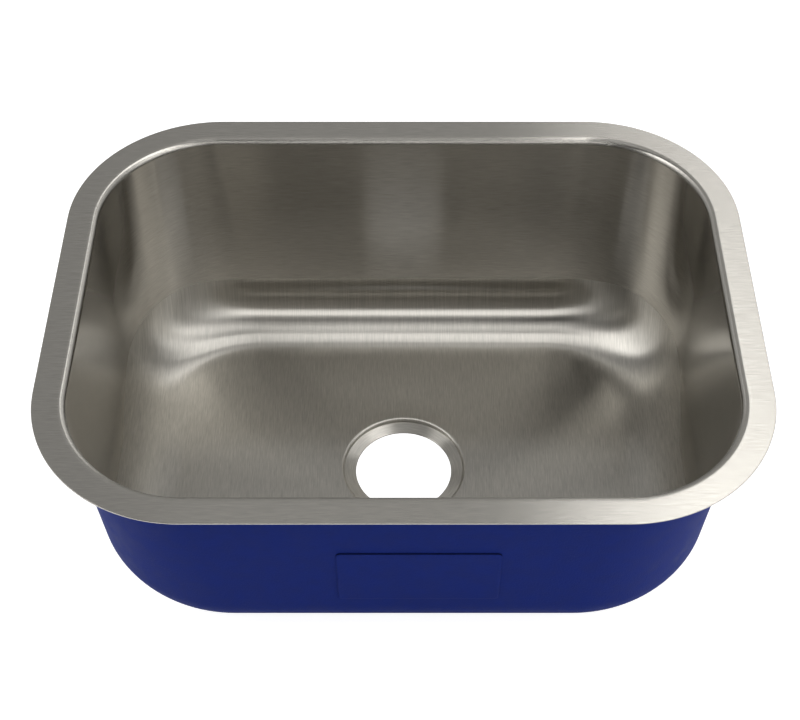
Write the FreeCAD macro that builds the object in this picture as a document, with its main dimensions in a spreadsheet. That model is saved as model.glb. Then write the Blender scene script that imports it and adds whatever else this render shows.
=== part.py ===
import FreeCAD, Part
import os
import Sketcher

# Single-bowl undermount sink drawn from one steel sheet.
# The origin is on the standing plane, the drain recess's underside, below the middle of the flange.
# X runs along the sink, -Y is the front, +Z is up.

doc = FreeCAD.newDocument("undermount_sink")
dims = doc.addObject("Spreadsheet::Sheet", "dims")

DIMENSIONS = [
    ("overall_length", 590.5, "flange, left edge to right edge"),
    ("overall_width", 455.0, "flange, front edge to back edge"),
    ("flange_corner", 128.0, "outer corner radius of the flange"),
    ("sheet_thickness", 1.2, "steel sheet"),
    ("flange_flat", 20.5, "flat part of the flange"),
    ("bend_radius", 6.0, "rounding from the flange into the bowl"),
    ("bowl_depth", 224.0, "flange top to the floor at the foot of the cove"),
    ("side_draft", 5.9, "how far each side wall leans in by the floor"),
    ("end_draft", 16.7, "how far the front and back walls lean in by the floor"),
    ("corner_growth", 17.8, "how much the bowl's corner radius grows by the floor"),
    ("cove_radius", 58.0, "rounding between wall and floor"),
    ("floor_fall", 3.0, "fall of the floor to the drain"),
    ("drain_setback", -2.0, "drain centre from the sink's centre, along Y"),
    ("drain_bore", 90.0, "drain hole diameter"),
    ("recess_width", 117.0, "drain recess diameter at the floor"),
    ("recess_depth", 6.5, "drain recess depth below the floor"),
    ("lip_radius", 3.5, "rounding of the recess's lip"),
    ("ledge_fillet", 2.5, "rounding at the foot of the recess's wall"),
    ("recess_land", 6.0, "level ring of floor around the recess"),
    ("bond_film", 0.1, "primer film between the steel and the coat"),
    ("coat_thickness", 1.0, "sprayed coat"),
    ("coat_start", 8.0, "bare band below the flange's top"),
    ("coat_drain_gap", 8.0, "bare ring around the drain recess"),
    ("pad_thickness", 1.5, "rubber pads"),
    ("pad_corner", 3.0, "corner radius of the pads"),
    ("wall_pad_top", 85.0, "flange top to the top of the wall pads"),
    ("wall_pad_height", 72.0, "height of the wall pads"),
    ("front_pad_length", 131.0, "length of the front and back pads"),
    ("front_pad_shift", 12.3, "front pad's centre from the sink's centre, along X"),
    ("side_pad_length", 100.0, "length of the left and right pads"),
    ("base_pad_length", 84.0, "base pads along X"),
    ("base_pad_width", 130.0, "base pads along Y"),
    ("base_pad_gap", 22.0, "recess edge to each base pad"),
]

for row, (alias, value, meaning) in enumerate(DIMENSIONS, start=1):
    dims.set("A%d" % row, meaning)
    dims.set("B%d" % row, str(value))
    dims.setAlias("B%d" % row, alias)
doc.recompute()

# What is worked out from the driving dimensions.
WALL_INSET = "(dims.flange_flat + dims.bend_radius)"
RIM_HALF_LENGTH = "(dims.overall_length / 2 - %s)" % WALL_INSET
RIM_HALF_WIDTH = "(dims.overall_width / 2 - %s)" % WALL_INSET
RIM_CORNER = "(dims.flange_corner - %s)" % WALL_INSET
FLOOR_HALF_LENGTH = "(%s - dims.side_draft)" % RIM_HALF_LENGTH
FLOOR_HALF_WIDTH = "(%s - dims.end_draft)" % RIM_HALF_WIDTH
FLOOR_CORNER = "(%s + dims.corner_growth)" % RIM_CORNER
DRAIN_LEVEL = "(dims.sheet_thickness + dims.recess_depth)"
FLOOR_LEVEL = "(%s + dims.floor_fall)" % DRAIN_LEVEL
FLANGE_TOP = "(%s + dims.bowl_depth)" % FLOOR_LEVEL
FLANGE_UNDERSIDE = "(%s - dims.sheet_thickness)" % FLANGE_TOP
RECESS_WALL = "(dims.recess_width / 2 - dims.lip_radius)"
LAND_RADIUS = "(dims.recess_width / 2 + dims.recess_land)"

# How far each layer's face lies outside the bowl's inside face.
STEEL_FACE = "dims.sheet_thickness"
BOND_FACE = "(dims.sheet_thickness + dims.bond_film)"
COAT_FACE = "(%s + dims.coat_thickness)" % BOND_FACE
PAD_FACE = "(%s + dims.pad_thickness)" % STEEL_FACE
RAISED_FACE = "(%s + dims.coat_thickness)" % PAD_FACE

# The level, front and side planes of a body's origin.
LEVEL = "XY_Plane"
FRONT = "XZ_Plane"
SIDE = "YZ_Plane"


def value_of(expression):
    return float(dims.evalExpression(expression))


def origin_plane(body, role):
    return [feature for feature in body.Origin.OriginFeatures if feature.Role == role][0]


def rounded_outline(body, name, level, half_length, half_width, corner, centre=("0", "0"), plane=LEVEL):
    """Rounded rectangle parallel to one of the body's planes: half sizes, corner radius and centre."""
    sketch = body.newObject("Sketcher::SketchObject", name)
    sketch.AttachmentSupport = [(origin_plane(body, plane), "")]
    sketch.MapMode = "FlatFace"
    sketch.setExpression("AttachmentOffset.Base.x", centre[0])
    sketch.setExpression("AttachmentOffset.Base.y", centre[1])
    sketch.setExpression("AttachmentOffset.Base.z", level)
    a = value_of(half_length)
    b = value_of(half_width)
    r = value_of(corner)
    up = FreeCAD.Vector(0, 0, 1)
    quarter = 1.5707963267948966
    corners = [(a - r, b - r, 0), (r - a, b - r, 1), (r - a, r - b, 2), (a - r, r - b, 3)]
    ends = [
        ((a - r, b), (r - a, b)),
        ((-a, b - r), (-a, r - b)),
        ((r - a, -b), (a - r, -b)),
        ((a, r - b), (a, b - r)),
    ]
    for (x, y, turn), (first, last) in zip(corners, ends):
        circle = Part.Circle(FreeCAD.Vector(x, y, 0), up, r)
        sketch.addGeometry(Part.ArcOfCircle(circle, turn * quarter, (turn + 1) * quarter), False)
        start = FreeCAD.Vector(first[0], first[1], 0)
        stop = FreeCAD.Vector(last[0], last[1], 0)
        sketch.addGeometry(Part.LineSegment(start, stop), False)
    for index in range(8):
        sketch.addConstraint(Sketcher.Constraint("Tangent", index, 2, (index + 1) % 8, 1))
    for index in (1, 5):
        sketch.addConstraint(Sketcher.Constraint("Horizontal", index))
    for index in (3, 7):
        sketch.addConstraint(Sketcher.Constraint("Vertical", index))
    for index in (2, 4, 6):
        sketch.addConstraint(Sketcher.Constraint("Equal", 0, index))
    sketch.addConstraint(Sketcher.Constraint("Symmetric", 1, 1, 5, 1, -1, 1))
    size = sketch.addConstraint(Sketcher.Constraint("Distance", -1, 1, 7, a))
    sketch.setExpression("Constraints[%d]" % size, half_length)
    size = sketch.addConstraint(Sketcher.Constraint("Distance", -1, 1, 1, b))
    sketch.setExpression("Constraints[%d]" % size, half_width)
    size = sketch.addConstraint(Sketcher.Constraint("Radius", 0, r))
    sketch.setExpression("Constraints[%d]" % size, corner)
    return sketch


def level_edges(shape, level, inside=None):
    """Names of the edges that lie wholly on one level, those within a plan radius if one is given."""
    names = []
    for index, edge in enumerate(shape.Edges, start=1):
        box = edge.BoundBox
        if abs(box.ZMin - level) > 0.01 or abs(box.ZMax - level) > 0.01:
            continue
        if inside is not None and not inside(edge):
            continue
        names.append("Edge%d" % index)
    return names


def bowl_form(name, face):
    """Solid filling of the bowl out to one layer's face: walls, cove and falling floor."""
    body = doc.addObject("PartDesign::Body", name)
    floor = "%s - %s" % (FLOOR_LEVEL, face)
    rim = rounded_outline(
        body,
        name + "_rim",
        FLANGE_TOP,
        "%s + %s" % (RIM_HALF_LENGTH, face),
        "%s + %s" % (RIM_HALF_WIDTH, face),
        "%s + %s" % (RIM_CORNER, face),
    )
    foot = rounded_outline(
        body,
        name + "_foot",
        floor,
        "%s + %s" % (FLOOR_HALF_LENGTH, face),
        "%s + %s" % (FLOOR_HALF_WIDTH, face),
        "%s + %s" % (FLOOR_CORNER, face),
    )
    walls = body.newObject("PartDesign::AdditiveLoft", name + "_walls")
    walls.Profile = rim
    walls.Sections = [foot]
    walls.Ruled = True
    doc.recompute()
    cove = body.newObject("PartDesign::Fillet", name + "_cove")
    cove.Base = (walls, level_edges(walls.Shape, value_of(floor)))
    cove.setExpression("Radius", "dims.cove_radius + %s" % face)
    doc.recompute()
    upper = rounded_outline(
        body,
        name + "_floor_edge",
        floor,
        "%s - dims.cove_radius" % FLOOR_HALF_LENGTH,
        "%s - dims.cove_radius" % FLOOR_HALF_WIDTH,
        "%s - dims.cove_radius" % FLOOR_CORNER,
    )
    lower = rounded_outline(
        body,
        name + "_floor_land",
        "%s - dims.floor_fall" % floor,
        LAND_RADIUS,
        LAND_RADIUS,
        "%s - 1" % LAND_RADIUS,
        ("0", "dims.drain_setback"),
    )
    fall = body.newObject("PartDesign::AdditiveLoft", name + "_fall")
    fall.Profile = upper
    fall.Sections = [lower]
    fall.Ruled = True
    doc.recompute()
    return body


def drum(name, radius, top, height, foot_radius=None):
    """Upright cylinder on the drain's axis, hung down from one level, its foot rounded if a radius is given."""
    body = doc.addObject("PartDesign::Body", name)
    cylinder = body.newObject("PartDesign::AdditiveCylinder", name + "_drum")
    cylinder.setExpression("Radius", radius)
    cylinder.setExpression("Height", height)
    cylinder.setExpression("Placement.Base.y", "dims.drain_setback")
    cylinder.setExpression("Placement.Base.z", "%s - %s" % (top, height))
    doc.recompute()
    if foot_radius is not None:
        foot = body.newObject("PartDesign::Fillet", name + "_foot")
        foot.Base = (cylinder, level_edges(cylinder.Shape, cylinder.Shape.BoundBox.ZMin))
        foot.setExpression("Radius", foot_radius)
        doc.recompute()
    return body


def joined(name, pieces):
    result = doc.addObject("Part::MultiFuse", name)
    result.Shapes = pieces
    doc.recompute()
    return result


def shared(name, pieces):
    result = doc.addObject("Part::MultiCommon", name)
    result.Shapes = pieces
    doc.recompute()
    return result


def less(name, base, tool):
    result = doc.addObject("Part::Cut", name)
    result.Base = base
    result.Tool = tool
    doc.recompute()
    return result


def round_edges(body, name, level, picks, radius):
    """Round those edges of the body that lie on one level and that the test picks."""
    last = body.Tip
    rounding = body.newObject("PartDesign::Fillet", name)
    rounding.Base = (last, level_edges(last.Shape, value_of(level), picks))
    rounding.setExpression("Radius", radius)
    doc.recompute()


def within_flange(edge):
    """True for an edge of the bowl's mouth, inside the flange's own outline."""
    box = edge.BoundBox
    margin = value_of("dims.flange_flat / 2")
    reach_x = max(abs(box.XMin), abs(box.XMax))
    reach_y = max(abs(box.YMin), abs(box.YMax))
    length_limit = value_of("dims.overall_length / 2") - margin
    return reach_x < length_limit and reach_y < value_of("dims.overall_width / 2") - margin


def full_circle(edge):
    return edge.isClosed()


# Steel bowl: the flange sheet and the bowl's outside are joined and rounded below,
# then the bowl's inside is taken out and the top edges are rounded.
flange_form = doc.addObject("PartDesign::Body", "flange_form")
flange_outline = rounded_outline(
    flange_form,
    "flange_outline",
    FLANGE_TOP,
    "dims.overall_length / 2",
    "dims.overall_width / 2",
    "dims.flange_corner",
)
flange_sheet = flange_form.newObject("PartDesign::Pad", "flange_sheet")
flange_sheet.Profile = flange_outline
flange_sheet.setExpression("Length", "dims.sheet_thickness")
flange_sheet.Reversed = True
doc.recompute()

inside_form = bowl_form("inside_form", "0")
steel_form = bowl_form("steel_form", STEEL_FACE)
recess_outside = drum(
    "recess_outside",
    "%s + dims.sheet_thickness" % RECESS_WALL,
    DRAIN_LEVEL,
    "(dims.recess_depth + dims.sheet_thickness)",
    "dims.ledge_fillet + dims.sheet_thickness",
)
recess_inside = drum("recess_inside", RECESS_WALL, DRAIN_LEVEL, "dims.recess_depth", "dims.ledge_fillet")
drain_way = drum("drain_way", "dims.drain_bore / 2", DRAIN_LEVEL, "(2 * dims.recess_depth)")

formed_sheet = joined("formed_sheet", [flange_form, steel_form, recess_outside])
outside_rounded = doc.addObject("PartDesign::Body", "outside_rounded")
outside_rounded.BaseFeature = formed_sheet
doc.recompute()
BEND_INSIDE = "(dims.bend_radius - dims.sheet_thickness)"
LIP_INSIDE = "(dims.lip_radius - dims.sheet_thickness)"
round_edges(outside_rounded, "bend_underside", FLANGE_UNDERSIDE, within_flange, BEND_INSIDE)
round_edges(outside_rounded, "lip_underside", "dims.recess_depth", full_circle, LIP_INSIDE)

bowl_space = joined("bowl_space", [inside_form, recess_inside, drain_way])
open_bowl = less("open_bowl", outside_rounded, bowl_space)
sink_bowl = doc.addObject("PartDesign::Body", "sink_bowl")
sink_bowl.BaseFeature = open_bowl
doc.recompute()
round_edges(sink_bowl, "bend_top", FLANGE_TOP, within_flange, "dims.bend_radius")
round_edges(sink_bowl, "lip_top", DRAIN_LEVEL, full_circle, "dims.lip_radius")

# Rubber pads: each is what a straight shaft through the wall or floor cuts out of the pads' layer.
# The coat rises over a shaft that is wider by the coat's thickness on every side.
steel_backing = bowl_form("steel_backing", STEEL_FACE)
bond_form = bowl_form("bond_form", BOND_FACE)
coat_form = bowl_form("coat_form", COAT_FACE)
pad_form = bowl_form("pad_form", PAD_FACE)
raised_form = bowl_form("raised_form", RAISED_FACE)

WALL_PAD_MIDDLE = "(%s - dims.wall_pad_top - dims.wall_pad_height / 2)" % FLANGE_TOP
BASE_PAD_MIDDLE = "(dims.recess_width / 2 + dims.base_pad_gap + dims.base_pad_length / 2)"
HALF_PAD_HEIGHT = "dims.wall_pad_height / 2"
HALF_FRONT_PAD = "dims.front_pad_length / 2"
HALF_SIDE_PAD = "dims.side_pad_length / 2"
HALF_BASE_LENGTH = "dims.base_pad_length / 2"
HALF_BASE_WIDTH = "dims.base_pad_width / 2"
LENGTH_REACH = "dims.overall_length / 2"
WIDTH_REACH = "dims.overall_width / 2"

# Name, plane, whether the shaft runs against the plane's own direction, centre, half sizes, reach.
# The base pads' shafts run down from the flange's level, the others out from the middle.
PADS = [
    ("front_sound_pad", FRONT, False, ("dims.front_pad_shift", WALL_PAD_MIDDLE),
     (HALF_FRONT_PAD, HALF_PAD_HEIGHT), WIDTH_REACH),
    ("back_sound_pad", FRONT, True, ("0", WALL_PAD_MIDDLE),
     (HALF_FRONT_PAD, HALF_PAD_HEIGHT), WIDTH_REACH),
    ("left_sound_pad", SIDE, True, ("0", WALL_PAD_MIDDLE),
     (HALF_SIDE_PAD, HALF_PAD_HEIGHT), LENGTH_REACH),
    ("right_sound_pad", SIDE, False, ("0", WALL_PAD_MIDDLE),
     (HALF_SIDE_PAD, HALF_PAD_HEIGHT), LENGTH_REACH),
    ("left_base_pad", LEVEL, True, ("-" + BASE_PAD_MIDDLE, "dims.drain_setback"),
     (HALF_BASE_LENGTH, HALF_BASE_WIDTH), FLANGE_TOP),
    ("right_base_pad", LEVEL, True, (BASE_PAD_MIDDLE, "dims.drain_setback"),
     (HALF_BASE_LENGTH, HALF_BASE_WIDTH), FLANGE_TOP),
]


def shaft(name, plane, against, centre, halves, reach, margin):
    """Straight shaft with rounded corners from the middle of the bowl out through a wall or the floor."""
    body = doc.addObject("PartDesign::Body", name)
    half_length = "%s + %s" % (halves[0], margin)
    half_width = "%s + %s" % (halves[1], margin)
    corner = "dims.pad_corner + %s" % margin
    start = FLANGE_TOP if plane == LEVEL else "0"
    outline = rounded_outline(body, name + "_outline", start, half_length, half_width, corner, centre, plane)
    run = body.newObject("PartDesign::Pad", name + "_run")
    run.Profile = outline
    run.setExpression("Length", reach)
    run.Reversed = against
    doc.recompute()
    return body


pads = []
pad_blocks = []
raised_blocks = []
for name, plane, against, centre, halves, reach in PADS:
    pad_shaft = shaft(name + "_shaft", plane, against, centre, halves, reach, "0")
    rise_shaft = shaft(name + "_rise", plane, against, centre, halves, reach, "dims.coat_thickness")
    pad_block = shared(name + "_block", [pad_form, pad_shaft])
    pad_blocks.append(pad_block)
    raised_blocks.append(shared(name + "_cover", [raised_form, rise_shaft]))
    pads.append(less(name, pad_block, steel_backing))

# Sprayed coat: the coat's layer and its rises over the pads, less the steel and the pads below it,
# with the band below the flange and the ring around the drain left bare.
coat_full = joined("coat_full", [coat_form] + raised_blocks)
coat_hollow = joined("coat_hollow", [bond_form] + pad_blocks)
coat_skin = less("coat_skin", coat_full, coat_hollow)
bare_band = doc.addObject("Part::Box", "bare_band")
bare_band.setExpression("Length", "dims.overall_length")
bare_band.setExpression("Width", "dims.overall_width")
bare_band.setExpression("Height", "2 * dims.coat_start")
bare_band.setExpression("Placement.Base.x", "-dims.overall_length / 2")
bare_band.setExpression("Placement.Base.y", "-dims.overall_width / 2")
bare_band.setExpression("Placement.Base.z", "%s - dims.coat_start" % FLANGE_TOP)
bare_ring = doc.addObject("Part::Cylinder", "bare_ring")
bare_ring.setExpression("Radius", "dims.recess_width / 2 + dims.coat_drain_gap")
bare_ring.setExpression("Height", "4 * dims.recess_depth")
bare_ring.setExpression("Placement.Base.y", "dims.drain_setback")
bare_ring.setExpression("Placement.Base.z", "%s - 2 * dims.recess_depth" % DRAIN_LEVEL)
bare_places = joined("bare_places", [bare_band, bare_ring])
undercoat = less("undercoat", coat_skin, bare_places)

nodes = [sink_bowl, undercoat] + pads
for item in doc.Objects:
    if "Invalid" in item.State or "Error" in item.State:
        raise RuntimeError("%s did not build" % item.Name)
os.makedirs("parts", exist_ok=True)
for node in nodes:
    node.Label = node.Name
    if node.Shape.isNull() or not node.Shape.isValid():
        raise RuntimeError("%s has no sound shape" % node.Label)
    if len(node.Shape.Solids) != 1:
        raise RuntimeError("%s is not one solid" % node.Label)
    node.Shape.exportStep("parts/%s.step" % node.Label)
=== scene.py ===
import math

import bmesh
import bpy
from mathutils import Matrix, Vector


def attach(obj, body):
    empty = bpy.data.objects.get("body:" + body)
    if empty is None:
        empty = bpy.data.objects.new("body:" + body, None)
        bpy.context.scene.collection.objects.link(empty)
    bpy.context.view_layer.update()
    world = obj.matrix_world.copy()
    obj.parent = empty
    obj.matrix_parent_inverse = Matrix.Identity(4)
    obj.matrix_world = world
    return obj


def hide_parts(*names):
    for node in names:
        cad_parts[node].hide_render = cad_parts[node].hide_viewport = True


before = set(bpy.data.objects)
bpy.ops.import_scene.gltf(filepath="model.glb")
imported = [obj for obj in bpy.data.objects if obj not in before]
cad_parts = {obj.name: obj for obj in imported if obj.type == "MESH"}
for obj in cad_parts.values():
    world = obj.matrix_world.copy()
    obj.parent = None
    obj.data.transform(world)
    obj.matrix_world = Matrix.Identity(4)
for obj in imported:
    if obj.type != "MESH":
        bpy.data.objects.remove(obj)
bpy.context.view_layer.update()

# Sizes of the sink in metres, as drawn in the part's own sheet of dimensions.
OVERALL_LENGTH = 0.5905
OVERALL_WIDTH = 0.455
FLANGE_CORNER = 0.128
SHEET = 0.0012
FLANGE_FLAT = 0.0205
BEND = 0.006
BOWL_DEPTH = 0.224
SIDE_DRAFT = 0.0059
END_DRAFT = 0.0167
CORNER_GROWTH = 0.0178
COVE = 0.058
FLOOR_FALL = 0.003
DRAIN_Y = -0.002
DRAIN_RADIUS = 0.045
RECESS_RADIUS = 0.0585
RECESS_DEPTH = 0.0065
BOND_FILM = 0.0001
COAT = 0.001
COAT_START = 0.008
COAT_DRAIN_GAP = 0.008
PAD = 0.0015
PAD_CORNER = 0.003
WALL_PAD_TOP = 0.085
WALL_PAD_HEIGHT = 0.072
FRONT_PAD_LENGTH = 0.131
FRONT_PAD_SHIFT = 0.0123
SIDE_PAD_LENGTH = 0.100
BASE_PAD_LENGTH = 0.084
BASE_PAD_WIDTH = 0.130
BASE_PAD_GAP = 0.022

# Fine forms of the drain recess, which the solid draws simpler: with a larger lip and a flat ledge.
LIP = 0.0024
LEDGE_FILLET = 0.0008
LEDGE_DISH = 0.0021

# Levels above the standing plane.
LEDGE_TOP = SHEET
DRAIN_LEVEL = SHEET + RECESS_DEPTH
FLOOR_LEVEL = DRAIN_LEVEL + FLOOR_FALL
FLANGE_TOP = FLOOR_LEVEL + BOWL_DEPTH

# Half length, half width and corner radius of the walls' inner face, at the flange and at the floor.
WALL_INSET = FLANGE_FLAT + BEND
RIM = (OVERALL_LENGTH / 2 - WALL_INSET, OVERALL_WIDTH / 2 - WALL_INSET, FLANGE_CORNER - WALL_INSET)
FOOT = (RIM[0] - SIDE_DRAFT, RIM[1] - END_DRAFT, RIM[2] + CORNER_GROWTH)
CORNER_DRAFT = (SIDE_DRAFT + END_DRAFT + 2 * CORNER_GROWTH) / math.sqrt(2) - CORNER_GROWTH

# Small roundings of cut edges. The flange's is drawn as rings of inset and drop, in parts of the rounding,
# and the last ring lies just behind it, which keeps its shading off the flat.
EDGE_EASE = 0.00025
COAT_EASE = 0.0005
EASED_EDGE = ((0.0, 1.0), (0.3, 0.3), (1.0, 0.0), (2.0, 0.0))
UNDER_FLANGE_INSETS = (0.014, 0.007, EDGE_EASE * 2, EDGE_EASE)

# The floor's rings stop just short of the recess, which keeps the lip crisp.
FLOOR_STOP = RECESS_RADIUS + 0.002
LIP_START = RECESS_RADIUS + 0.0005

# Rings drawn for each stretch of a section: the steel's upper face, its underside, the coat and the recess.
STEEL_RINGS = {"flange": 8, "bend": 14, "wall": 16, "cove": 48, "floor": 40}
UNDER_RINGS = {"bend": 8, "wall": 8, "cove": 20, "floor": 12}
COAT_RINGS = {"wall": 40, "cove": 40, "floor": 24}
RECESS_RINGS = {"lip": 8, "fillet": 6}
LEDGE_PARTS = (0.8, 0.6, 0.4, 0.2, 0.03, 0.0)

# Steps round each corner and along each side.
BOWL_STEPS = (40, 24)
COAT_STEPS = (32, 20)
QUARTER = math.pi / 2

# Points closer than this become one, which closes the sheet's seams.
WELD = 0.00001


class Ring:
    """One closed line of the drawn sheet: a rounded rectangle that turns into a circle at the drain.

    Its turn is the sheet's slope in degrees: -90 on the flange, 0 on the walls and 90 on the floor.
    """

    def __init__(self, halves, corner, level, roundness=0.0, radius=0.0, turn=0.0):
        self.half_length, self.half_width = halves
        self.corner = corner
        self.level = level
        self.roundness = roundness
        self.radius = radius
        self.turn = turn
        self.run = 0.0

    def reach(self):
        """How far the ring stands from the middle, towards the front or the back."""
        return self.half_width + (self.radius - self.half_width) * self.roundness


def quarter_angles(count):
    """Evenly spaced angles over a quarter turn, both ends included."""
    return [QUARTER * step / count for step in range(count + 1)]


def wall_at(height, outward):
    """Half length, half width and corner radius of the wall at a height above the floor's edge."""
    part = height / BOWL_DEPTH
    return [foot + (rim - foot) * part + outward for foot, rim in zip(FOOT, RIM)]


def cove_inset(height, draft, radius):
    """How far the cove stands in from the leaning wall at a height above the floor."""
    lean = draft / BOWL_DEPTH
    slant = math.sqrt(1 + lean * lean)
    if height >= radius * (1 - lean / slant):
        return 0.0
    centre = lean * radius - radius * slant
    across = math.sqrt(max(radius * radius - (radius - height) ** 2, 0.0))
    return lean * height - centre - across


def wall_rings(outward, top, count):
    """Rings down the straight wall from a level to the top of the cove."""
    foot = FLOOR_LEVEL + COVE
    rings = []
    for step in range(count):
        level = top + (foot - top) * step / count
        half_length, half_width, corner = wall_at(level - FLOOR_LEVEL, outward)
        rings.append(Ring((half_length, half_width), corner, level))
    return rings


def cove_rings(outward, count):
    """Rings round the cove from the wall to the floor, evenly turned."""
    radius = COVE + outward
    base = FLOOR_LEVEL - outward
    rings = []
    for angle in quarter_angles(count):
        height = radius * (1 - math.sin(angle))
        half_length, half_width, corner = wall_at(base + height - FLOOR_LEVEL, outward)
        half_length -= cove_inset(height, SIDE_DRAFT, radius)
        half_width -= cove_inset(height, END_DRAFT, radius)
        corner -= cove_inset(height, CORNER_DRAFT, radius)
        rings.append(Ring((half_length, half_width), corner, base + height, turn=math.degrees(angle)))
    return rings


def floor_rings(outward, count, inner):
    """Rings over the falling floor from the foot of the cove to a circle round the drain."""
    edge = cove_rings(outward, 1)[-1]
    halves = (edge.half_length, edge.half_width)
    rings = []
    for step in range(1, count + 1):
        part = step / count
        fall = FLOOR_FALL * (part * part * (3 - 2 * part))
        level = FLOOR_LEVEL - outward - fall
        rings.append(Ring(halves, edge.corner, level, roundness=part, radius=inner, turn=90.0))
    return rings


def circle_ring(edge, radius, level):
    """A full circle round the drain, inside the floor's edge."""
    halves = (edge.half_length, edge.half_width)
    return Ring(halves, edge.corner, level, roundness=1.0, radius=radius, turn=90.0)


def flange_ring(inset, level):
    """A line on the flange, set in from its outer edge."""
    halves = (OVERALL_LENGTH / 2 - inset, OVERALL_WIDTH / 2 - inset)
    return Ring(halves, FLANGE_CORNER - inset, level, turn=-90.0)


def bend_rings(outward, count):
    """Rings round the bend between the flange and the wall."""
    radius = BEND - outward
    foot = FLANGE_TOP - BEND
    wall = wall_at(foot - FLOOR_LEVEL, outward)
    start = flange_ring(FLANGE_FLAT, FLANGE_TOP)
    rings = []
    for angle in quarter_angles(count):
        reach = math.sin(angle)
        halves = (
            start.half_length + (wall[0] - start.half_length) * reach,
            start.half_width + (wall[1] - start.half_width) * reach,
        )
        corner = start.corner + (wall[2] - start.corner) * reach
        level = foot + radius * math.cos(angle)
        rings.append(Ring(halves, corner, level, turn=-90.0 + math.degrees(angle)))
    return rings


def recess_rings(edge, outward):
    """Rings over the lip, down the recess's short wall and over its dished ledge to the drain hole."""
    top = DRAIN_LEVEL - outward
    low = LEDGE_TOP - outward
    foot = low + LEDGE_DISH
    lip = LIP - outward
    fillet = LEDGE_FILLET + outward
    wall = RECESS_RADIUS - lip
    hole = DRAIN_RADIUS + EDGE_EASE
    rings = []
    for angle in quarter_angles(RECESS_RINGS["lip"]):
        radius = RECESS_RADIUS - lip * math.sin(angle)
        rings.append(circle_ring(edge, radius, top - lip * (1 - math.cos(angle))))
    for angle in quarter_angles(RECESS_RINGS["fillet"]):
        radius = wall - fillet * (1 - math.cos(angle))
        rings.append(circle_ring(edge, radius, foot + fillet * (1 - math.sin(angle))))
    for part in LEDGE_PARTS:
        rings.append(circle_ring(edge, hole + (wall - fillet - hole) * part, low + LEDGE_DISH * part))
    return rings


def steel_section():
    """The sheet's whole section: over the flange, down the wall, over the floor, and back below."""
    flat = FLANGE_FLAT - EDGE_EASE
    steps = STEEL_RINGS["flange"]
    outer = [flange_ring(EDGE_EASE * inset, FLANGE_TOP - EDGE_EASE * drop) for inset, drop in EASED_EDGE]
    outer += [flange_ring(EDGE_EASE + flat * step / steps, FLANGE_TOP) for step in range(1, steps)]
    inside = bend_rings(0.0, STEEL_RINGS["bend"])
    inside += wall_rings(0.0, FLANGE_TOP - BEND, STEEL_RINGS["wall"])[1:]
    inside += cove_rings(0.0, STEEL_RINGS["cove"])
    edge = inside[-1]
    inside += floor_rings(0.0, STEEL_RINGS["floor"], FLOOR_STOP)
    inside += [circle_ring(edge, LIP_START, DRAIN_LEVEL)]
    inside += recess_rings(edge, 0.0)
    inside += [circle_ring(edge, DRAIN_RADIUS, LEDGE_TOP - EDGE_EASE)]
    below = [circle_ring(edge, DRAIN_RADIUS, EDGE_EASE)]
    below += recess_rings(edge, SHEET)[::-1]
    below += floor_rings(SHEET, UNDER_RINGS["floor"], FLOOR_STOP)[::-1]
    below += cove_rings(SHEET, UNDER_RINGS["cove"])[::-1]
    below += wall_rings(SHEET, FLANGE_TOP - BEND, UNDER_RINGS["wall"])[:0:-1]
    below += bend_rings(SHEET, UNDER_RINGS["bend"])[::-1]
    below += [flange_ring(inset, FLANGE_TOP - SHEET) for inset in UNDER_FLANGE_INSETS]
    below += [flange_ring(0.0, FLANGE_TOP - SHEET + EDGE_EASE)]
    return outer + inside + below


def coat_section():
    """Section of the sprayed coat: down the outside, under the floor, and back along the steel."""
    inward = SHEET + BOND_FILM
    outward = inward + COAT
    top = FLANGE_TOP - COAT_START
    bare = RECESS_RADIUS + COAT_DRAIN_GAP
    outside = wall_rings(outward, top - COAT_EASE, COAT_RINGS["wall"])
    outside += cove_rings(outward, COAT_RINGS["cove"])
    outside += floor_rings(outward, COAT_RINGS["floor"], bare + COAT_EASE)
    edge = outside[-1]
    outside += [circle_ring(edge, bare, edge.level + COAT_EASE)]
    inside = floor_rings(inward, UNDER_RINGS["floor"], bare)[::-1]
    inside += cove_rings(inward, UNDER_RINGS["cove"])[::-1]
    inside += wall_rings(inward, top, UNDER_RINGS["wall"])[::-1]
    half_length, half_width, corner = wall_at(top - FLOOR_LEVEL, outward - COAT_EASE)
    inside += [Ring((half_length, half_width), corner, top)]
    return (outside + inside)[::-1]


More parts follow.
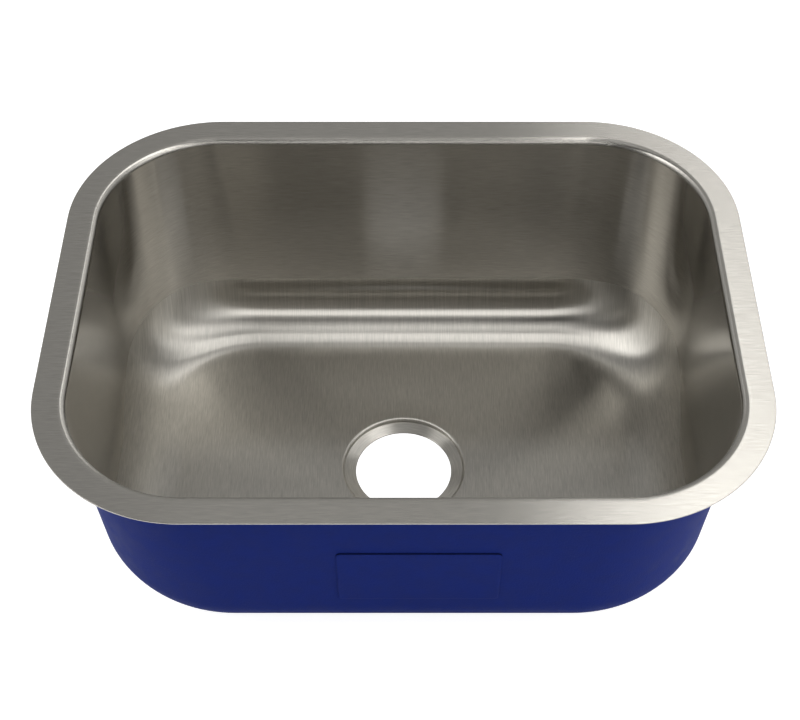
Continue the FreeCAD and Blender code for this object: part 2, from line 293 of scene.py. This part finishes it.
class NodeMaker:
    """Adds nodes to a tree and wires them by what they are given: a socket is linked, a value is set."""

    def __init__(self, tree):
        self.tree = tree

    def feed(self, socket, value):
        if isinstance(value, bpy.types.NodeSocket):
            self.tree.links.new(value, socket)
        else:
            socket.default_value = value

    def add(self, kind, inputs=None, **settings):
        node = self.tree.nodes.new(kind)
        for name, value in settings.items():
            setattr(node, name, value)
        for key, value in (inputs or {}).items():
            self.feed(node.inputs[key], value)
        return node

    def math(self, operation, *values):
        return self.add("ShaderNodeMath", dict(enumerate(values)), operation=operation).outputs[0]

    def vector(self, operation, *values):
        return self.add("ShaderNodeVectorMath", dict(enumerate(values)), operation=operation).outputs[0]

    def scale(self, vector, factor):
        return self.add("ShaderNodeVectorMath", {0: vector, "Scale": factor}, operation="SCALE").outputs[0]

    def length(self, vector):
        return self.add("ShaderNodeVectorMath", {0: vector}, operation="LENGTH").outputs["Value"]

    def join(self, x, y, z=0.0):
        return self.add("ShaderNodeCombineXYZ", {0: x, 1: y, 2: z}).outputs[0]

    def split(self, vector):
        return self.add("ShaderNodeSeparateXYZ", {0: vector}).outputs

    def facing(self, angle):
        """Unit vector in plan that points at an angle."""
        return self.join(self.math("COSINE", angle), self.math("SINE", angle))

    def blend(self, factor, first, second, kind="VECTOR"):
        """Mix two values, vectors or colours."""
        place = {"FLOAT": (0, 2, 3, 0), "VECTOR": (0, 4, 5, 1), "RGBA": (0, 6, 7, 2)}[kind]
        node = self.add("ShaderNodeMix", data_type=kind)
        for index, value in zip(place, (factor, first, second)):
            self.feed(node.inputs[index], value)
        return node.outputs[place[3]]

    def remap(self, value, low, high, new_low, new_high, smooth=False):
        """Carry a value from one span to another, held at the ends."""
        node = self.add("ShaderNodeMapRange", {0: value, 1: low, 2: high, 3: new_low, 4: new_high})
        node.interpolation_type = "SMOOTHSTEP" if smooth else "LINEAR"
        return node.outputs[0]

    def noise(self, spot, **inputs):
        return self.add("ShaderNodeTexNoise", {"Vector": spot, **inputs}).outputs[0]


RING_FACTS = ("half_length", "half_width", "corner", "level", "roundness", "radius", "turn", "run")
SHEET_INPUTS = (
    ("Section", "NodeSocketGeometry"),
    ("Corner Steps", "NodeSocketInt"),
    ("Side Steps", "NodeSocketInt"),
    ("Drain Y", "NodeSocketFloat"),
    ("Long Side", "NodeSocketFloat"),
    ("Short Side", "NodeSocketFloat"),
    ("Corner Arc", "NodeSocketFloat"),
    ("Finish", "NodeSocketMaterial"),
)


def ring_facts(make, section, ring):
    """What the section's points say about a ring, by name."""
    facts = {}
    for name in RING_FACTS:
        stored = make.add("GeometryNodeInputNamedAttribute", {"Name": name}, data_type="FLOAT")
        taken = make.add("GeometryNodeSampleIndex", {0: section, "Index": ring}, data_type="FLOAT")
        make.feed(taken.inputs["Value"], stored.outputs[0])
        facts[name] = taken.outputs[0]
    return facts


def ring_plan(make, facts, drain_y, quarter, straight, facing):
    """Where a ring runs in plan: a rounded rectangle that turns into a circle round the drain."""
    first = make.math("MULTIPLY_ADD", quarter, QUARTER, QUARTER / 2)
    second = make.math("ADD", first, QUARTER)
    corners = [make.scale(make.facing(turn), math.sqrt(2)) for turn in (first, second)]
    core = make.blend(straight, corners[0], corners[1])
    reach = make.join(
        make.math("SUBTRACT", facts["half_length"], facts["corner"]),
        make.math("SUBTRACT", facts["half_width"], facts["corner"]),
    )
    outline = make.vector("ADD", make.vector("MULTIPLY", core, reach), make.scale(facing, facts["corner"]))
    drain = make.join(0.0, drain_y)
    spoke = make.vector("NORMALIZE", make.vector("SUBTRACT", outline, drain))
    circle = make.vector("ADD", drain, make.scale(spoke, facts["radius"]))
    return make.blend(facts["roundness"], outline, circle)


def length_round(make, given, quarter, bend, straight):
    """Length run round the bowl at half its depth, for the walls' own map."""
    odd_sides = make.math("FLOOR", make.math("DIVIDE", quarter, 2.0))
    even_sides = make.math("SUBTRACT", quarter, odd_sides)
    odd = make.math("MODULO", quarter, 2.0)
    side = make.blend(odd, given["Long Side"], given["Short Side"], kind="FLOAT")
    length = make.math("MULTIPLY", make.math("ADD", quarter, bend), given["Corner Arc"])
    length = make.math("MULTIPLY_ADD", even_sides, given["Long Side"], length)
    length = make.math("MULTIPLY_ADD", odd_sides, given["Short Side"], length)
    return make.math("MULTIPLY_ADD", straight, side, length)


def stored_on(make, sheet, name, value, kind, domain="POINT"):
    """The sheet with a named value stored on it, for its finish to read."""
    settings = {"data_type": kind, "domain": domain}
    store = make.add("GeometryNodeStoreNamedAttribute", {0: sheet, "Name": name}, **settings)
    make.feed(store.inputs["Value"], value)
    return store.outputs[0]


def drawn_sheet_tree():
    """Sweeps a section of rings round the sink's rounded outline, closed both ways."""
    tree = bpy.data.node_groups.new("drawn sheet", "GeometryNodeTree")
    for name, kind in SHEET_INPUTS:
        tree.interface.new_socket(name, in_out="INPUT", socket_type=kind)
    tree.interface.new_socket("Sheet", in_out="OUTPUT", socket_type="NodeSocketGeometry")
    make = NodeMaker(tree)
    given = make.add("NodeGroupInput").outputs
    section = given["Section"]
    rings = make.add("GeometryNodeAttributeDomainSize", {0: section}).outputs["Point Count"]
    corner_steps = given["Corner Steps"]
    side_steps = given["Side Steps"]
    quarter_steps = make.math("ADD", corner_steps, side_steps)
    around = make.math("MULTIPLY", quarter_steps, 4.0)
    grid = make.add("GeometryNodeMeshGrid", {"Size X": 1.0, "Size Y": 1.0})
    make.feed(grid.inputs["Vertices X"], make.math("ADD", around, 1.0))
    make.feed(grid.inputs["Vertices Y"], make.math("ADD", rings, 1.0))
    place = make.split(make.add("GeometryNodeInputPosition").outputs[0])
    step = make.math("ROUND", make.math("MULTIPLY", make.math("ADD", place[0], 0.5), around))
    ring = make.math("ROUND", make.math("MULTIPLY", make.math("ADD", place[1], 0.5), rings))
    facts = ring_facts(make, section, make.math("MODULO", ring, rings))
    quarter = make.math("FLOOR", make.math("DIVIDE", step, quarter_steps))
    along = make.math("SUBTRACT", step, make.math("MULTIPLY", quarter, quarter_steps))
    bend = make.math("MINIMUM", make.math("DIVIDE", along, corner_steps), 1.0)
    straight = make.math("DIVIDE", make.math("SUBTRACT", along, corner_steps), side_steps)
    straight = make.math("MAXIMUM", straight, 0.0)
    facing = make.facing(make.math("MULTIPLY", make.math("ADD", quarter, bend), QUARTER))
    plan = ring_plan(make, facts, given["Drain Y"], quarter, straight, facing)
    parts = make.split(plan)
    maps = {
        "run_down": make.join(facts["run"], length_round(make, given, quarter, bend, straight)),
        "plan": make.join(parts[0], parts[1]),
        "plan_turned": make.join(parts[1], parts[0]),
    }
    sheet = grid.outputs["Mesh"]
    for name, value in maps.items():
        sheet = stored_on(make, sheet, name, value, "FLOAT2", domain="CORNER")
    sheet = stored_on(make, sheet, "turn", facts["turn"], "FLOAT")
    sheet = stored_on(make, sheet, "facing", facing, "FLOAT_VECTOR")
    spot = make.vector("ADD", plan, make.join(0.0, 0.0, facts["level"]))
    moved = make.add("GeometryNodeSetPosition", {"Geometry": sheet, "Position": spot}).outputs[0]
    welded = make.add("GeometryNodeMergeByDistance", {"Geometry": moved, "Distance": WELD}).outputs[0]
    smooth = make.add("GeometryNodeSetShadeSmooth", {"Geometry": welded}).outputs[0]
    real = make.add("GeometryNodeRealizeInstances", {"Geometry": smooth}).outputs[0]
    dressed = make.add("GeometryNodeSetMaterial", {"Geometry": real, "Material": given["Finish"]})
    make.add("NodeGroupOutput", {"Sheet": dressed.outputs[0]})
    return tree


def linked(name, data):
    """A new object in the scene."""
    piece = bpy.data.objects.new(name, data)
    bpy.context.scene.collection.objects.link(piece)
    return piece


def measure_run(section):
    """Give each ring its length along the section from the first one."""
    run = 0.0
    last = section[0]
    for ring in section:
        run += math.hypot(ring.reach() - last.reach(), ring.level - last.level)
        ring.run = run
        last = ring


def drawn_piece(name, section, tree, finish, steps):
    """A plain mesh of one drawn sheet or skin."""
    measure_run(section)
    mesh = bpy.data.meshes.new(name + " section")
    mesh.from_pydata([(0.0, 0.0, ring.level) for ring in section], [], [])
    for fact in RING_FACTS:
        stored = mesh.attributes.new(fact, "FLOAT", "POINT")
        stored.data.foreach_set("value", [getattr(ring, fact) for ring in section])
    helper = linked(name + " section", mesh)
    sweep = helper.modifiers.new("sweep", "NODES")
    sweep.node_group = tree
    half_length, half_width, corner = wall_at(BOWL_DEPTH / 2, 0.0)
    sizes = {
        "Corner Steps": steps[0],
        "Side Steps": steps[1],
        "Drain Y": DRAIN_Y,
        "Long Side": 2 * (half_length - corner),
        "Short Side": 2 * (half_width - corner),
        "Corner Arc": corner * QUARTER,
        "Finish": finish,
    }
    for item in tree.interface.items_tree:
        if item.in_out == "INPUT" and item.name in sizes:
            sweep[item.identifier] = sizes[item.name]
    graph = bpy.context.evaluated_depsgraph_get()
    result = bpy.data.meshes.new_from_object(helper.evaluated_get(graph))
    result.name = name
    helper.modifiers.remove(sweep)
    bpy.data.objects.remove(helper)
    return linked(name, result)


# The strokes in the grain: shares of its lengthwise and crosswise fineness, detail, and weight.
STROKES = ((1.0, 1.0, 2.0, 0.35), (0.45, 0.4, 2.0, 0.55), (0.12, 0.1, 1.0, 0.1))

# The noise's usual low and high, which are spread over 0 to 1.
GRAIN_SPREAD = (0.32, 0.68)
PATCH_SPREAD = (0.3, 0.7)


def shader_group(name, values, results):
    """A node group that reads a place and named values, and puts out named values."""
    group = bpy.data.node_groups.new(name, "ShaderNodeTree")
    face = group.interface
    face.new_socket("Place", in_out="INPUT", socket_type="NodeSocketVector")
    for key, value in values.items():
        face.new_socket(key, in_out="INPUT", socket_type="NodeSocketFloat").default_value = value
    for key in results:
        face.new_socket(key, in_out="OUTPUT", socket_type="NodeSocketFloat")
    make = NodeMaker(group)
    return group, make, make.add("NodeGroupInput").outputs


def brush_grain_group():
    """Fine parallel scratches of an abrasive belt, with longer and shorter strokes laid over each other."""
    values = {"Along": 12.0, "Across": 900.0}
    group, make, given = shader_group("brush grain", values, ("Tone", "Height"))
    strokes = []
    tone = 0.0
    for along, across, detail, weight in STROKES:
        lengthwise = make.math("MULTIPLY", given["Along"], along)
        crosswise = make.math("MULTIPLY", given["Across"], across)
        spot = make.vector("MULTIPLY", given["Place"], make.join(lengthwise, crosswise, 1.0))
        stroke = make.noise(spot, Scale=1.0, Detail=detail, Roughness=0.5)
        tone = make.math("MULTIPLY_ADD", stroke, weight, tone)
        strokes.append(stroke)
    tone = make.remap(tone, *GRAIN_SPREAD, 0.0, 1.0)
    make.add("NodeGroupOutput", {"Tone": tone, "Height": strokes[0]})
    return group


def cloud_group():
    """Soft uneven patches, such as handling marks on metal or thick and thin spray."""
    group, make, given = shader_group("soft patches", {"Size": 0.06}, ("Patch",))
    spot = make.scale(given["Place"], make.math("DIVIDE", 1.0, given["Size"]))
    cloud = make.noise(spot, Scale=1.0, Detail=3.0, Roughness=0.55)
    make.add("NodeGroupOutput", {"Patch": make.remap(cloud, *PATCH_SPREAD, 0.0, 1.0, smooth=True)})
    return group


def new_finish(name):
    """A material with its shader, and a maker for its other nodes."""
    finish = bpy.data.materials.new(name)
    finish.use_nodes = True
    finish.node_tree.nodes.clear()
    make = NodeMaker(finish.node_tree)
    shader = make.add("ShaderNodeBsdfPrincipled")
    make.add("ShaderNodeOutputMaterial", {"Surface": shader.outputs[0]})
    return finish, make, shader


# Brushed steel: its grain goes from dark to light and from smooth to rough, within these ends.
STEEL_DARK = (0.362, 0.348, 0.319, 1.0)
STEEL_LIGHT = (0.531, 0.511, 0.468, 1.0)
STEEL_ROUGH = (0.185, 0.21)
GRAIN = {"Along": 140.0, "Across": 2400.0}
GRAIN_BUMP = {"Strength": 0.02, "Distance": 0.0001}
STEEL_PATCH = 0.05

# Roughness added by handling marks, on the flange and on the floor.
PATCH_ROUGHER = 0.01
FLANGE_ROUGHER = 0.045
FLOOR_ROUGHER = 0.098

# Share of the grain's contrast that the flange lacks.
FLANGE_CALMER = 0.4

# Turn of the bend, in degrees, over which the flange's brushing gives way to the walls'.
FLANGE_FADE = (-20.0, -6.0)

# Height above the floor at which the floor's finish meets the walls' finish.
# It runs near the top of the cove, rises in the corners and sags along the left and right sides.
POLISH_HEIGHT = 0.055
POLISH_CORNER_RISE = 0.009
POLISH_SAG_LEFT = 0.018
POLISH_SAG_RIGHT = 0.025
POLISH_SAG_START = 0.11
POLISH_SIDE_POWER = 6.0
POLISH_WOBBLE = 0.003
POLISH_WOBBLE_SCALE = 18.0
POLISH_FADE = 0.0015

# Blue coat and black pads.
COAT_DEEP = (0.0090, 0.0235, 0.185, 1.0)
COAT_THIN = (0.0110, 0.0275, 0.210, 1.0)
# Painted shade: the dark colour of a line along the raised panels' edges, standing in for a crevice's
# shade.
COAT_EDGE_SHADE = (0.0050, 0.0080, 0.0380, 1.0)
COAT_ROUGH = (0.58, 0.66)
COAT_PATCH = 0.018
COAT_PEEL = 700.0
COAT_BUMP = {"Strength": 0.6, "Distance": 0.0004}
COAT_SHINE = 0.05
PAD_BLACK = (0.020, 0.020, 0.022, 1.0)
PAD_ROUGH = (0.75, 0.9)
PAD_PATCH = 0.02


def floor_polish(make, place, facing):
    """Mask of the floor's finish, which ends at a slightly wavy line round the cove."""
    parts = make.split(place)
    # The product of the facing's two parts is a half in the middle of a corner and nothing on a side.
    at_corner = make.math("ABSOLUTE", make.math("MULTIPLY", facing[0], facing[1]))
    rise = make.math("MULTIPLY", make.math("POWER", at_corner, 2.0), 4 * POLISH_CORNER_RISE)
    at_side = make.math("POWER", make.math("ABSOLUTE", facing[0]), POLISH_SIDE_POWER)
    from_corner = make.remap(parts[1], POLISH_SAG_START, 0.0, 0.0, 1.0)
    sag = make.remap(facing[0], -1.0, 1.0, POLISH_SAG_LEFT, POLISH_SAG_RIGHT)
    sag = make.math("MULTIPLY", make.math("MULTIPLY", at_side, from_corner), sag)
    line = make.math("ADD", make.math("SUBTRACT", rise, sag), FLOOR_LEVEL + POLISH_HEIGHT)
    wobble = make.noise(place, Scale=POLISH_WOBBLE_SCALE, Detail=2.0)
    line = make.math("MULTIPLY_ADD", make.math("SUBTRACT", wobble, 0.5), POLISH_WOBBLE, line)
    return make.remap(make.math("SUBTRACT", line, parts[2]), 0.0, POLISH_FADE, 0.0, 1.0)


def map_tangent(make, name):
    """The way across the strokes that a stored map gives."""
    return make.add("ShaderNodeTangent", direction_type="UV_MAP", uv_map=name).outputs[0]


def brushing(make, place, on_floor, on_flange):
    """Place along and across the strokes, and the way across them, in layers from walls to drain ledge."""
    parts = make.split(place)
    wall_map = make.split(make.add("ShaderNodeUVMap", uv_map="run_down").outputs[0])
    from_drain = make.join(parts[0], make.math("SUBTRACT", parts[1], DRAIN_Y))
    away = make.length(from_drain)
    ledge_edge = RECESS_RADIUS - LIP
    on_ledge = make.remap(away, ledge_edge, ledge_edge - LEDGE_FILLET, 0.0, 1.0)
    spoke = make.split(from_drain)
    round_drain = make.math("MULTIPLY", make.math("ARCTAN2", spoke[1], spoke[0]), DRAIN_RADIUS)
    layers = (
        (on_floor, make.join(parts[1], parts[0]), map_tangent(make, "plan")),
        (on_flange, make.join(parts[0], parts[1]), map_tangent(make, "plan_turned")),
        (on_ledge, make.join(round_drain, away), make.vector("NORMALIZE", from_drain)),
    )
    brushed = make.join(wall_map[1], wall_map[0])
    tangent = map_tangent(make, "run_down")
    for mask, layer_place, layer_tangent in layers:
        brushed = make.blend(mask, brushed, layer_place)
        tangent = make.blend(mask, tangent, layer_tangent)
    return brushed, tangent


def steel_finish(grain, patches):
    """Satin steel: walls brushed round, floor front to back, flange left to right, ledge in circles."""
    finish, make, shader = new_finish("brushed steel")
    turn = make.add("ShaderNodeAttribute", attribute_name="turn").outputs["Fac"]
    facing = make.split(make.add("ShaderNodeAttribute", attribute_name="facing").outputs["Vector"])
    place = make.add("ShaderNodeTexCoord").outputs["Object"]
    on_floor = floor_polish(make, place, facing)
    on_flange = make.remap(turn, *FLANGE_FADE, 1.0, 0.0)
    brushed, tangent = brushing(make, place, on_floor, on_flange)
    scratches = make.add("ShaderNodeGroup", {"Place": brushed, **GRAIN}, node_tree=grain).outputs
    marks = make.add("ShaderNodeGroup", {"Place": place, "Size": STEEL_PATCH}, node_tree=patches).outputs
    evenness = make.math("MULTIPLY_ADD", on_flange, -FLANGE_CALMER, 1.0)
    tone = make.math("SUBTRACT", scratches["Tone"], 0.5)
    tone = make.math("MULTIPLY_ADD", tone, evenness, 0.5)
    make.feed(shader.inputs["Base Color"], make.blend(tone, STEEL_DARK, STEEL_LIGHT, kind="RGBA"))
    rough = make.remap(tone, 0.0, 1.0, *STEEL_ROUGH)
    rough = make.math("MULTIPLY_ADD", marks["Patch"], PATCH_ROUGHER, rough)
    rough = make.math("MULTIPLY_ADD", on_flange, FLANGE_ROUGHER, rough)
    rough = make.math("MULTIPLY_ADD", on_floor, FLOOR_ROUGHER, rough)
    make.feed(shader.inputs["Roughness"], rough)
    make.feed(shader.inputs["Tangent"], tangent)
    bump = make.add("ShaderNodeBump", {"Height": scratches["Height"], **GRAIN_BUMP})
    make.feed(shader.inputs["Normal"], bump.outputs[0])
    shader.inputs["Metallic"].default_value = 1.0
    shader.inputs["Anisotropic"].default_value = 1.0
    return finish


def coat_finish(patches):
    """Sprayed blue coat: matt, with fine orange peel and thick and thin patches."""
    finish, make, shader = new_finish("blue undercoat")
    place = make.add("ShaderNodeTexCoord").outputs["Object"]
    spray = make.add("ShaderNodeGroup", {"Place": place, "Size": COAT_PATCH}, node_tree=patches).outputs
    colour = make.blend(spray["Patch"], COAT_DEEP, COAT_THIN, kind="RGBA")
    # Painted shade: the panels' edges darken towards this colour, as if shaded in a crevice.
    edge = make.add("ShaderNodeAttribute", attribute_name="painted_edge_shade").outputs["Fac"]
    make.feed(shader.inputs["Base Color"], make.blend(edge, colour, COAT_EDGE_SHADE, kind="RGBA"))
    make.feed(shader.inputs["Roughness"], make.remap(spray["Patch"], 0.0, 1.0, *COAT_ROUGH))
    peel = make.noise(place, Scale=COAT_PEEL, Detail=2.0)
    bump = make.add("ShaderNodeBump", {"Height": peel, **COAT_BUMP})
    make.feed(shader.inputs["Normal"], bump.outputs[0])
    shader.inputs["Specular IOR Level"].default_value = COAT_SHINE
    return finish


def pad_finish(patches):
    """Black rubber of the sound pads."""
    finish, make, shader = new_finish("pad rubber")
    place = make.add("ShaderNodeTexCoord").outputs["Object"]
    dust = make.add("ShaderNodeGroup", {"Place": place, "Size": PAD_PATCH}, node_tree=patches).outputs
    make.feed(shader.inputs["Roughness"], make.remap(dust["Patch"], 0.0, 1.0, *PAD_ROUGH))
    shader.inputs["Base Color"].default_value = PAD_BLACK
    return finish


# Soft edge of a raised panel, from its foot to its face: inset from the outline and drop below the face.
PANEL_EDGE = ((0.0, 0.0006), (0.0002, 0.0002), (0.0007, 0.0), (0.0020, 0.0))
PANEL_CORNER_STEPS = 6
PANEL_SHARP = math.radians(50.0)

# The edge's dark line is painted shade, standing in for the shade of a crevice along the edge: full where
# it faces up and this weak elsewhere.
# A face that points outwards by the second value or more is no edge.
PANEL_SHADE_LEAST = 0.15
PANEL_OUTWARD = 0.5

# The floor's fall and slope under a base pad, as shares of its whole fall and of its even slope.
BASE_PAD_FALL = 0.52
BASE_PAD_SLOPE = 1.3


def panel_loop(halves, inset):
    """Points of a rounded rectangle over a pad, set in from the coat's outline."""
    corner = PAD_CORNER + COAT - inset
    reach = [half + COAT - inset - corner for half in halves]
    points = []
    for quarter in range(4):
        turn = (quarter + 0.5) * QUARTER
        for step in range(PANEL_CORNER_STEPS + 1):
            angle = (quarter + step / PANEL_CORNER_STEPS) * QUARTER
            x = math.copysign(reach[0], math.cos(turn)) + corner * math.cos(angle)
            y = math.copysign(reach[1], math.sin(turn)) + corner * math.sin(angle)
            points.append((x, y))
    return points


def painted_shade_on_face(face, up, out):
    """How dark the coat's painted crevice shade is on one face of a panel."""
    if abs(face.normal.dot(out)) >= PANEL_OUTWARD:
        return 0.0
    return min(max(face.normal.dot(up), 0.0) + PANEL_SHADE_LEAST, 1.0)


def raised_panel(name, centre, across, up, halves, finish):
    """Coat standing up over a pad: a rounded plate with a soft edge, lying on the coat's face."""
    across = Vector(across).normalized()
    up = Vector(up).normalized()
    out = across.cross(up)
    rise = PAD - BOND_FILM
    body = bmesh.new()
    loops = []
    for inset, level in [(0.0, -COAT)] + [(inset, rise - drop) for inset, drop in PANEL_EDGE]:
        spots = [Vector(centre) + across * x + up * y + out * level for x, y in panel_loop(halves, inset)]
        loops.append([body.verts.new(spot) for spot in spots])
    for lower, upper in zip(loops, loops[1:]):
        for index in range(len(lower)):
            after = (index + 1) % len(lower)
            body.faces.new((lower[index], lower[after], upper[after], upper[index]))
    body.faces.new(loops[-1])
    body.faces.new(loops[0][::-1])
    bmesh.ops.recalc_face_normals(body, faces=body.faces)
    mesh = bpy.data.meshes.new(name)
    body.to_mesh(mesh)
    body.free()
    # Painted shade: each face's share of the dark line, strongest where the face turns up.
    edge = mesh.attributes.new("painted_edge_shade", "FLOAT", "FACE")
    edge.data.foreach_set("value", [painted_shade_on_face(face, up, out) for face in mesh.polygons])
    mesh.materials.append(finish)
    mesh.shade_smooth()
    mesh.set_sharp_from_angle(angle=PANEL_SHARP)
    return linked(name, mesh)


def coat_panels(finish):
    """The raised panels over the four wall pads and the two base pads."""
    height = FLANGE_TOP - WALL_PAD_TOP - WALL_PAD_HEIGHT / 2
    face = SHEET + BOND_FILM + COAT
    half_length, half_width = wall_at(height - FLOOR_LEVEL, face)[:2]
    side_lean = SIDE_DRAFT / BOWL_DEPTH
    end_lean = END_DRAFT / BOWL_DEPTH
    long_halves = (FRONT_PAD_LENGTH / 2, WALL_PAD_HEIGHT / 2)
    short_halves = (SIDE_PAD_LENGTH / 2, WALL_PAD_HEIGHT / 2)
    base_halves = (BASE_PAD_LENGTH / 2, BASE_PAD_WIDTH / 2)
    base_x = RECESS_RADIUS + BASE_PAD_GAP + BASE_PAD_LENGTH / 2
    spread = wall_at(0.0, 0.0)[0] - COVE - RECESS_RADIUS
    base_level = FLOOR_LEVEL - face - FLOOR_FALL * BASE_PAD_FALL
    base_lean = FLOOR_FALL * BASE_PAD_SLOPE / spread
    sides = (("left", -1), ("right", 1))
    panels = []
    for word, side, shift in (("front", -1, FRONT_PAD_SHIFT), ("back", 1, 0)):
        centre = (shift, side * half_width, height)
        up = (0, side * end_lean, 1)
        panels.append(raised_panel(word + "_raised_panel", centre, (-side, 0, 0), up, long_halves, finish))
    for word, side in sides:
        centre = (side * half_length, 0, height)
        up = (side * side_lean, 0, 1)
        panels.append(raised_panel(word + "_raised_panel", centre, (0, side, 0), up, short_halves, finish))
    for word, side in sides:
        centre = (side * base_x, DRAIN_Y, base_level)
        across = (-1, 0, -side * base_lean)
        panels.append(raised_panel(word + "_base_panel", centre, across, (0, 1, 0), base_halves, finish))
    return panels


# White studio floor: its paint, the glow that makes it white to the camera, and how far it goes.
# In mirrored light the glow fades out towards the middle over these distances, a painted shadow of the
# sink.
FLOOR_PAINT = (0.6, 0.6, 0.6, 1.0)
FLOOR_GLOW = 0.85
FLOOR_REACH = 40.0
PAINTED_SHADOW_FADE = (0.07, 0.35)
WHITE = (1.0, 1.0, 1.0, 1.0)


def studio_floor_finish():
    """White paint that glows for the camera and in mirrored light, but lights nothing itself."""
    finish = bpy.data.materials.new("studio floor")
    finish.use_nodes = True
    finish.node_tree.nodes.clear()
    make = NodeMaker(finish.node_tree)
    paint = make.add("ShaderNodeBsdfDiffuse", {"Color": FLOOR_PAINT})
    glow = make.add("ShaderNodeEmission", {"Color": WHITE, "Strength": FLOOR_GLOW})
    both = make.add("ShaderNodeAddShader", {0: paint.outputs[0], 1: glow.outputs[0]})
    rays = make.add("ShaderNodeLightPath").outputs
    away = make.length(make.add("ShaderNodeTexCoord").outputs["Object"])
    # Painted shadow: the glow seen in mirrored light fades out under and round the sink.
    outside_painted_shadow = make.remap(away, *PAINTED_SHADOW_FADE, 0.0, 1.0, smooth=True)
    mirrored = make.math("MAXIMUM", rays["Is Glossy Ray"], rays["Is Transmission Ray"])
    seen = make.math("MAXIMUM", rays["Is Camera Ray"], make.math("MULTIPLY", mirrored, outside_painted_shadow))
    mixed = make.add("ShaderNodeMixShader", {0: seen, 1: paint.outputs[0], 2: both.outputs[0]})
    make.add("ShaderNodeOutputMaterial", {"Surface": mixed.outputs[0]})
    return finish


def stage_floor():
    """Plain white studio floor that keeps the sink's shadow."""
    mesh = bpy.data.meshes.new("studio floor")
    corners = [(x * FLOOR_REACH, y * FLOOR_REACH, 0) for x, y in ((-1, -1), (1, -1), (1, 1), (-1, 1))]
    mesh.from_pydata(corners, [], [(0, 1, 2, 3)])
    mesh.materials.append(studio_floor_finish())
    floor = linked("studio_floor", mesh)


# Each soft box: name, bearing round the sink (0 is right, 90 behind), height angle, wide and high angles,
# and the brightness of its face, where 1 is white.
SOFT_BOXES = (
    ("front bar left", 240, 35, 25, 12, 0.8),
    ("front bar middle", 268, 35, 22, 12, 2.7),
    ("front bar right", 296, 35, 25, 12, 3.6),
    ("front bar side", 324, 38, 21, 14, 2.4),
    ("front high box", 277, 61, 18, 14, 0.8),
    ("front right high box", 312, 60, 22, 14, 1.8),
    ("overhead box", 0, 86, 22, 34, 0.65),
    ("right overhead box", 0, 72, 18, 18, 3.5),
    ("left low box", 190, 28, 30, 20, 1.5),
    ("left high box", 192, 50, 26, 22, 4.2),
    ("right box", 343, 39, 26, 42, 1.4),
    ("back right low box", 62, 25, 33, 24, 0.8),
    ("back right high box", 52, 61, 16, 20, 2.7),
)
BOX_CENTRE = Vector((0.0, 0.0, 0.15))
BOX_DISTANCE = 2.5

# Brightness of the surroundings before and behind the sink, and where one fades into the other.
SKY_FRONT = 0.02
SKY_BACK = 0.45
SKY_FADE = (-0.6, 0.3)


def soft_box(name, bearing, height, wide, high, brightness):
    """A large even lamp that faces the sink."""
    turn = math.radians(bearing)
    lift = math.radians(height)
    way = Vector((math.cos(lift) * math.cos(turn), math.cos(lift) * math.sin(turn), math.sin(lift)))
    light = bpy.data.lights.new(name, "AREA")
    light.shape = "RECTANGLE"
    light.size = 2 * BOX_DISTANCE * math.tan(math.radians(wide / 2))
    light.size_y = 2 * BOX_DISTANCE * math.tan(math.radians(high / 2))
    light.energy = brightness * math.pi * light.size * light.size_y
    lamp = linked(name, light)
    lamp.location = BOX_CENTRE + way * BOX_DISTANCE
    lamp.rotation_euler = (-way).to_track_quat("-Z", "Y").to_euler()
    lamp.visible_camera = False


def studio():
    """Dim surroundings, darker on the viewer's side, with soft boxes round and over the sink."""
    world = bpy.data.worlds.new("studio")
    bpy.context.scene.world = world
    world.use_nodes = True
    sky = world.node_tree.nodes["Background"]
    sky.inputs["Color"].default_value = WHITE
    make = NodeMaker(world.node_tree)
    way = make.split(make.add("ShaderNodeTexCoord").outputs["Generated"])
    make.feed(sky.inputs["Strength"], make.remap(way[1], *SKY_FADE, SKY_FRONT, SKY_BACK))
    for box in SOFT_BOXES:
        soft_box(*box)


# The camera as fitted to the flange's outline, the drain hole and the coat's silhouette.
CAMERA_PITCH = 48.99
CAMERA_PLACE = (0.0, -0.90488, 0.96664 + FLANGE_TOP)
CAMERA_SENSOR = 36.0
CAMERA_LENS = 71.145
CAMERA_SHIFT = (-0.0045, -0.0026)


def camera():
    """The view in front of and above the sink."""
    lens = bpy.data.cameras.new("camera")
    lens.sensor_width = CAMERA_SENSOR
    lens.lens = CAMERA_LENS
    lens.shift_x, lens.shift_y = CAMERA_SHIFT
    view = linked("camera", lens)
    view.location = CAMERA_PLACE
    view.rotation_euler = (math.radians(90.0 - CAMERA_PITCH), 0.0, 0.0)
    bpy.context.scene.camera = view


def dress_pads(finish):
    """The pads stay as drawn and take their rubber."""
    for name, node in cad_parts.items():
        if name.endswith("_pad"):
            node.data.materials.clear()
            node.data.materials.append(finish)


def main():
    grain = brush_grain_group()
    patches = cloud_group()
    steel = steel_finish(grain, patches)
    blue = coat_finish(patches)
    tree = drawn_sheet_tree()
    bowl = drawn_piece("steel_bowl", steel_section(), tree, steel, BOWL_STEPS)
    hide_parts("sink_bowl")
    coat = drawn_piece("blue_coat_skin", coat_section(), tree, blue, COAT_STEPS)
    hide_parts("undercoat")
    pieces = [bowl, coat]
    for panel in coat_panels(blue):
        pieces.append(panel)
    for piece in pieces:
        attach(piece, "root")
    dress_pads(pad_finish(patches))
    stage_floor()
    studio()
    camera()
    bpy.context.scene.view_settings.view_transform = "Standard"


main()
